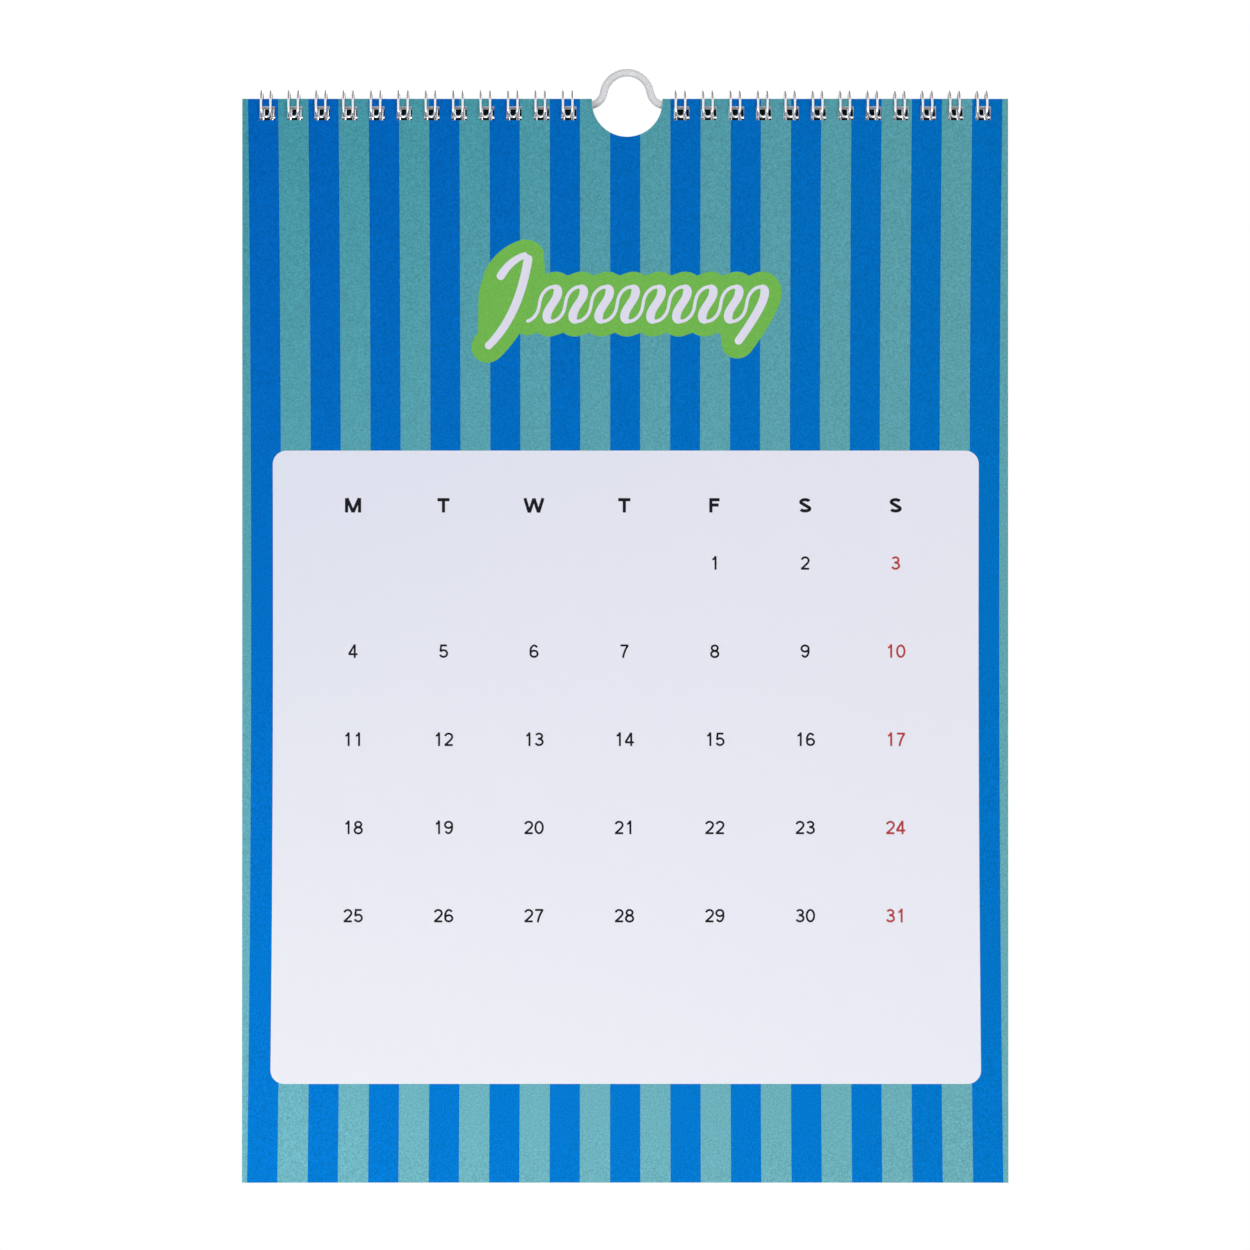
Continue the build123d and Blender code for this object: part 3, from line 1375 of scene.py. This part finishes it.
@dataclass
class MonthPatch:
    """The green patch above the grid, with the month's plain number and a brushed wave in it.

    The points of its strokes are in millimetres from its middle, Y up: where a stroke starts, what
    draws it aside and where it stops. The tail goes on from the wave's end, and its pull is from there.
    """

    ink: InkLayer
    middle: Pair = (0.0, 63.4 * MM)
    border: float = 3.9 * MM
    columns: int = 260
    rows: int = 12
    edge_trim: float = 1e-7
    stroke_level: int = 5
    stem: tuple[Pair, Pair, Pair] = ((-29.8, 15.2), (-32.6, -4.0), (-43.0, -13.6))
    flag: tuple[Pair, Pair, Pair] = ((-30.2, 15.4), (-36.0, 13.6), (-39.0, 7.6))
    guide: tuple[Pair, Pair, Pair] = ((-30.2, 15.4), (-38.9, 12.2), (-40.4, 0.5))
    tail_pull: Pair = (4.5, -1.0)
    tail_stop: Pair = (34.3, -12.3)
    stem_count: int = 120
    flag_count: int = 80
    guide_count: int = 100
    wave_count: int = 900
    tail_count: int = 120
    thin: float = 0.5 * MM
    thick: float = 1.35 * MM
    swell: float = 0.7
    blunt: float = 0.02 * MM
    waves: float = 8.5
    swing: float = 1.84
    slant: float = 0.42
    wave_start: Pair = (-30.6 * MM, -5.3 * MM)
    wave_size: Pair = (68.0 * MM, 10.6 * MM)

    def brushed(self, line: np.ndarray) -> np.ndarray:
        """Give half the width that a broad brush leaves along a line.

        The stroke is thin where it runs up or across, and thick where it runs down. With d the way to
        the nearer end and h half the width, the ends are rounded by sqrt(1 - (1 - d / h)^2).

        Args:
            line: the stroke's middle line, with Y up.

        Returns:
            Half the stroke's width at each point.
        """
        step = np.gradient(line, axis=0)
        length = np.linalg.norm(step, axis=1)
        down = np.clip(-step[:, 1] / length, 0, 1)
        half = self.thin + (self.thick - self.thin) * down**self.swell
        way = np.cumsum(length)
        near = np.minimum(way - way[0], way[-1] - way) + self.blunt
        return half * np.sqrt(1 - np.clip(1 - near / half, 0, 1) ** 2)

    def wave(self) -> np.ndarray:
        """Walk the wave, a slanted meander that ends at the top of its last crest.

        At a share t of the way its heading is swing * sin(2 pi * waves * t) from straight across. The
        steps add up to its places, which are fitted to its size and then moved across by the slant
        times their height.

        Returns:
            The line, from the patch's middle with Y up.
        """
        t = np.linspace(0, 1, self.wave_count)
        heading = self.swing * np.sin(2 * np.pi * self.waves * t)
        line = np.cumsum(np.stack([np.cos(heading), np.sin(heading)], axis=1), axis=0)
        line -= line[0]
        line *= np.array(self.wave_size) / np.array([line[-1, 0], np.max(line[:, 1])])
        line[:, 0] += self.slant * line[:, 1]
        return line + np.array(self.wave_start)

    def brush_lines(self) -> list[np.ndarray]:
        """Give the middle lines of the brushed strokes: the 1's stem and flag, and the wave.

        Returns:
            The lines, from the patch's middle with Y up.
        """
        wave = self.wave()
        start = tuple(wave[-1] / MM)
        pull = tuple(np.add(start, self.tail_pull))
        tail = curve(start, pull, self.tail_stop, self.tail_count) * MM
        stem = curve(*self.stem, self.stem_count) * MM
        flag = curve(*self.flag, self.flag_count) * MM
        return [stem, flag, np.vstack([wave, tail[1:]])]

    def outline(self, lines: list[np.ndarray]) -> np.ndarray:
        """Give the patch as a grid between its lower and its upper contour.

        The patch is what discs cover that ride along the strokes, and along a guide that fills it out
        to the left, each wider than the stroke by the border. At a place x the upper contour is the
        highest y + sqrt(r^2 - (x - x0)^2) of all discs that reach it, and the lower one is the lowest
        y less that root.

        Args:
            lines: the strokes.

        Returns:
            The grid, with rows running down.
        """
        lines = [*lines, curve(*self.guide, self.guide_count) * MM]
        discs = np.concatenate(lines)
        reach = np.concatenate([self.brushed(line) for line in lines]) + self.border
        low, high = np.min(discs[:, 0] - reach), np.max(discs[:, 0] + reach)
        turn = np.linspace(math.pi, 0, self.columns)
        x = (low + high) / 2 + (high - low) / 2 * np.cos(turn) * (1 - self.edge_trim)
        room = reach**2 - (x[:, None] - discs[:, 0]) ** 2
        root = np.sqrt(np.clip(room, 0, None))
        upper = np.max(np.where(room > 0, discs[:, 1] + root, -np.inf), axis=1)
        lower = np.min(np.where(room > 0, discs[:, 1] - root, np.inf), axis=1)
        share = np.linspace(0, 1, self.rows)[:, None]
        y = upper + share * (lower - upper)
        return np.stack([np.broadcast_to(x, y.shape), y], -1)

    def build(self) -> list[Object]:
        """Lay the patch and the strokes on it.

        Returns:
            The two pieces.
        """
        lines = self.brush_lines()
        outer, inner = self.ink.on_leaf(self.middle + self.outline(lines) * UP_TO_BELOW, 0)
        patch = self.ink.finish("month_patch", [plate(outer, inner)], GREEN_INK.material())
        strokes = []
        for level, line in enumerate(lines, self.stroke_level):
            placed = self.middle + line * UP_TO_BELOW
            strokes.append(self.ink.ribbon(placed, self.brushed(line), level))
        return [patch, self.ink.finish("month_numeral", strokes, PALE_INK.material())]


@dataclass(frozen=True)
class SoftBox:
    """A square soft lamp that looks at the middle of the page.

    Attributes:
        name: the lamp's name.
        place: where it stands.
        side: the length of its side.
        power: in watts.
        mirrored: whether it shows in reflections.
    """

    name: str
    place: Triple
    side: float
    power: float
    mirrored: bool = True

    def build(self, target: Vector) -> Object:
        """Make the lamp.

        Args:
            target: the point that it looks at.

        Returns:
            The lamp.
        """
        data = bpy.data.lights.new(self.name, "AREA")
        data.shape = "SQUARE"
        data.size = self.side
        data.energy = self.power
        made = bpy.data.objects.new(self.name, data)
        made.location = self.place
        made.rotation_euler = (target - made.location).to_track_quat("-Z", "Y").to_euler()
        made.visible_camera = False
        made.visible_glossy = self.mirrored
        bpy.context.scene.collection.objects.link(made)
        return made


@dataclass
class Studio:
    """A plain pale floor, a white wall close behind the calendar, soft light and the camera.

    The world is white up to ceiling_start and grey from ceiling_full, both given as the rise of a
    direction. The wall's shade goes from full to none between the two open shares, which are shares of
    the directions that nothing near closes off.
    """

    page: Page
    ambient: float = 0.4
    ceiling_colour: str = "9C9C9C"
    ceiling_start: float = 0.52
    ceiling_full: float = 0.72
    floor_colour: str = "E6E6E6"
    floor_lift: str = "6A6A6A"
    floor_drop: float = 900 * MM
    wall_room: float = 0.12 * MM
    reach: float = 1.6
    band_height: float = 26 * MM
    shade_distance: float = 22 * MM
    shade_samples: int = 64
    shade_colour: str = "0A1214"
    open_shares: Pair = (0.26, 0.44)
    frame_width: float = 386.04 * MM
    frame_middle: Pair = (-0.06 * MM, 162.5 * MM)
    lens: float = 120.0
    sensor: float = 36.0
    sight: float = 20.0
    lamps: tuple[SoftBox, ...] = (
        SoftBox("low_softbox", (-0.25, -0.95, -1.25), 0.6, 18.5),
        SoftBox("high_softbox", (0.3, -1.0, 0.95), 0.6, 9.8, mirrored=False),
        SoftBox("rear_softbox", (0.4, 1.6, 0.5), 1.2, 9.0),
    )

    def rectangle(self, name: str, corner: Triple, across: Triple, up: Triple, paint: Material) -> Object:
        """Make a flat rectangle of the stage.

        Args:
            name: its name.
            corner: its first corner.
            across: the side that goes on from there.
            up: the side after that one.
            paint: its material.

        Returns:
            The rectangle.
        """
        first = np.array(corner)
        second, third = first + across, first + across + up
        points = np.stack([first, second, third, first + up])
        made = make_object(name, points, [[0, 1, 2, 3]], [paint])
        made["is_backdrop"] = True
        return made

    def wall_paint(self, cast: Cast) -> Material:
        """Make the wall's paint.

        The wall is white to the camera in front of it, and it isn't there for the light or from
        behind. The shaded cast darkens it where the part closes it off, so that the punched holes look
        as deep as they are.

        Args:
            cast: whether the shade close behind the part shows.

        Returns:
            The material.
        """
        made = bpy.data.materials.new(f"{cast.value}_wall_paint")
        tree = new_tree(made)
        glow = add(tree, "ShaderNodeEmission", None, {"Color": linear(WHITE)})
        if cast is Cast.SHADED:
            near = {"Distance": self.shade_distance}
            opening = add(tree, "ShaderNodeAmbientOcclusion", {"samples": self.shade_samples}, near)
            dark, light = self.open_shares
            band = {"Value": opening.outputs["AO"], "From Min": dark, "From Max": light}
            lit = add(tree, "ShaderNodeMapRange", SMOOTH_STEP, band).outputs[0]
            tints = {"Factor": lit, 6: linear(self.shade_colour), 7: linear(WHITE)}
            tone = add(tree, "ShaderNodeMix", COLOUR_MIX, tints)
            tree.links.new(tone.outputs[2], glow.inputs["Color"])
        rays = add(tree, "ShaderNodeLightPath").outputs["Is Camera Ray"]
        behind = add(tree, "ShaderNodeNewGeometry").outputs["Backfacing"]
        # 1 for the camera in front of the wall, and 0 or -1 for all else
        from_front = add(tree, "ShaderNodeMath", "SUBTRACT", (rays, behind)).outputs[0]
        seen = add(tree, "ShaderNodeMath", "GREATER_THAN", (from_front, 0.5)).outputs[0]
        clear = add(tree, "ShaderNodeBsdfTransparent").outputs[0]
        shown = add(tree, "ShaderNodeMixShader", None, (seen, clear, glow.outputs[0]))
        add(tree, "ShaderNodeOutputMaterial", None, {"Surface": shown.outputs[0]})
        return made

    def floor_paint(self) -> Material:
        """Make the floor's paint: pale, lifted to white for the camera, with the shadow kept.

        Returns:
            The material.
        """
        made = bpy.data.materials.new("pale_floor_paint")
        tree = new_tree(made)
        matt = add(tree, "ShaderNodeBsdfDiffuse", None, {"Color": linear(self.floor_colour)})
        rays = add(tree, "ShaderNodeLightPath").outputs["Is Camera Ray"]
        glow = {"Color": linear(self.floor_lift), "Strength": rays}
        lift = add(tree, "ShaderNodeEmission", None, glow)
        both = add(tree, "ShaderNodeAddShader", None, (matt.outputs[0], lift.outputs[0]))
        add(tree, "ShaderNodeOutputMaterial", None, {"Surface": both.outputs[0]})
        return made

    def world(self) -> None:
        """Light the scene evenly, and show white to the camera and in reflections.

        Overhead is a grey ceiling, higher than the level views look. The tops of the wires mirror it,
        so that they stand out against the white.
        """
        made = bpy.data.worlds.new("white_studio")
        tree = new_tree(made)
        rays = add(tree, "ShaderNodeLightPath").outputs
        looked = rays["Is Camera Ray"]
        for ray in ("Is Glossy Ray", "Is Transmission Ray"):
            looked = add(tree, "ShaderNodeMath", "MAXIMUM", (looked, rays[ray])).outputs[0]
        span = {"Value": looked, "To Min": self.ambient, "To Max": 1.0}
        strength = add(tree, "ShaderNodeMapRange", None, span).outputs[0]
        heading = add(tree, "ShaderNodeTexCoord").outputs["Generated"]
        rise = add(tree, "ShaderNodeSeparateXYZ", None, (heading,)).outputs[2]
        span = {"Value": rise, "From Min": self.ceiling_start, "From Max": self.ceiling_full}
        overhead = add(tree, "ShaderNodeMapRange", SMOOTH_STEP, span).outputs[0]
        tints = {"Factor": overhead, 6: linear(WHITE), 7: linear(self.ceiling_colour)}
        tone = add(tree, "ShaderNodeMix", COLOUR_MIX, tints).outputs[2]
        sky = add(tree, "ShaderNodeBackground", None, {"Color": tone, "Strength": strength})
        add(tree, "ShaderNodeOutputWorld", None, {"Surface": sky.outputs[0]})
        bpy.context.scene.world = made

    def camera(self) -> Object:
        """Stand the camera square to the page, as far off as its lens needs for the frame.

        Returns:
            The camera, which is the scene's.
        """
        data = bpy.data.cameras.new("camera")
        data.lens = self.lens
        data.sensor_width = self.sensor
        data.clip_end = self.sight
        made = bpy.data.objects.new("camera", data)
        distance = self.frame_width * self.lens / self.sensor
        page_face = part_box("front_leaf")[0].y
        across, below = self.frame_middle
        made.location = (self.page.middle + across, page_face - distance, self.page.top - below)
        made.rotation_euler = (math.pi / 2, 0, 0)
        bpy.context.scene.collection.objects.link(made)
        bpy.context.scene.camera = made
        return made

    def build(self) -> None:
        """Build the wall, the floor, the light and the camera."""
        low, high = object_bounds()
        wall_y = high.y + self.wall_room
        floor_z = low.z - self.floor_drop
        wide = (2 * self.reach, 0, 0)
        start = (-self.reach, wall_y, floor_z)
        self.rectangle("wall", start, wide, (0, 0, self.reach), self.wall_paint(Cast.PLAIN))
        page = self.page
        near, far = (page.gap - page.hole_width - page.hole_margin) / 2, page.width / 2
        band_y, band_z = wall_y - self.wall_room / 2, page.top - self.band_height
        band = (0, 0, self.band_height + page.hole_margin)
        for side, left in ((Side.LEFT, -far), (Side.RIGHT, near)):
            start = (page.middle + left, band_y, band_z)
            name = f"wall_behind_{side.name.lower()}_comb"
            self.rectangle(name, start, (far - near, 0, 0), band, self.wall_paint(Cast.SHADED))
        start = (-self.reach, -self.reach, floor_z)
        self.rectangle("floor", start, wide, (0, 2 * self.reach, 0), self.floor_paint())
        middle = Vector((page.middle, low.y, page.top - page.height / 2))
        for lamp in self.lamps:
            lamp.build(middle)
        self.world()
        self.camera()
        bpy.context.scene.view_settings.view_transform = "Standard"


def main() -> None:
    """Build the calendar round its frame, then the studio."""
    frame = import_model()
    page = Page()
    leaf = FrontLeaf(page)
    ink = InkLayer(leaf)
    made = [
        HangerWire(page).build(),
        *[TwinLoopComb(page, side).build() for side in Side],
        BackingBoard(frame["nodes"]["backing_board"]).dress(),
        RearLeaves(page).build(),
        leaf.build(),
        *MonthPatch(ink).build(),
        *MonthGrid(ink).build(),
    ]
    for piece in made:
        log.info("built %s with %d faces", piece.name, len(piece.data.polygons))
    Studio(page).build()


if __name__ == "__main__":
    logging.basicConfig(level=logging.INFO, format="%(message)s")
    main()
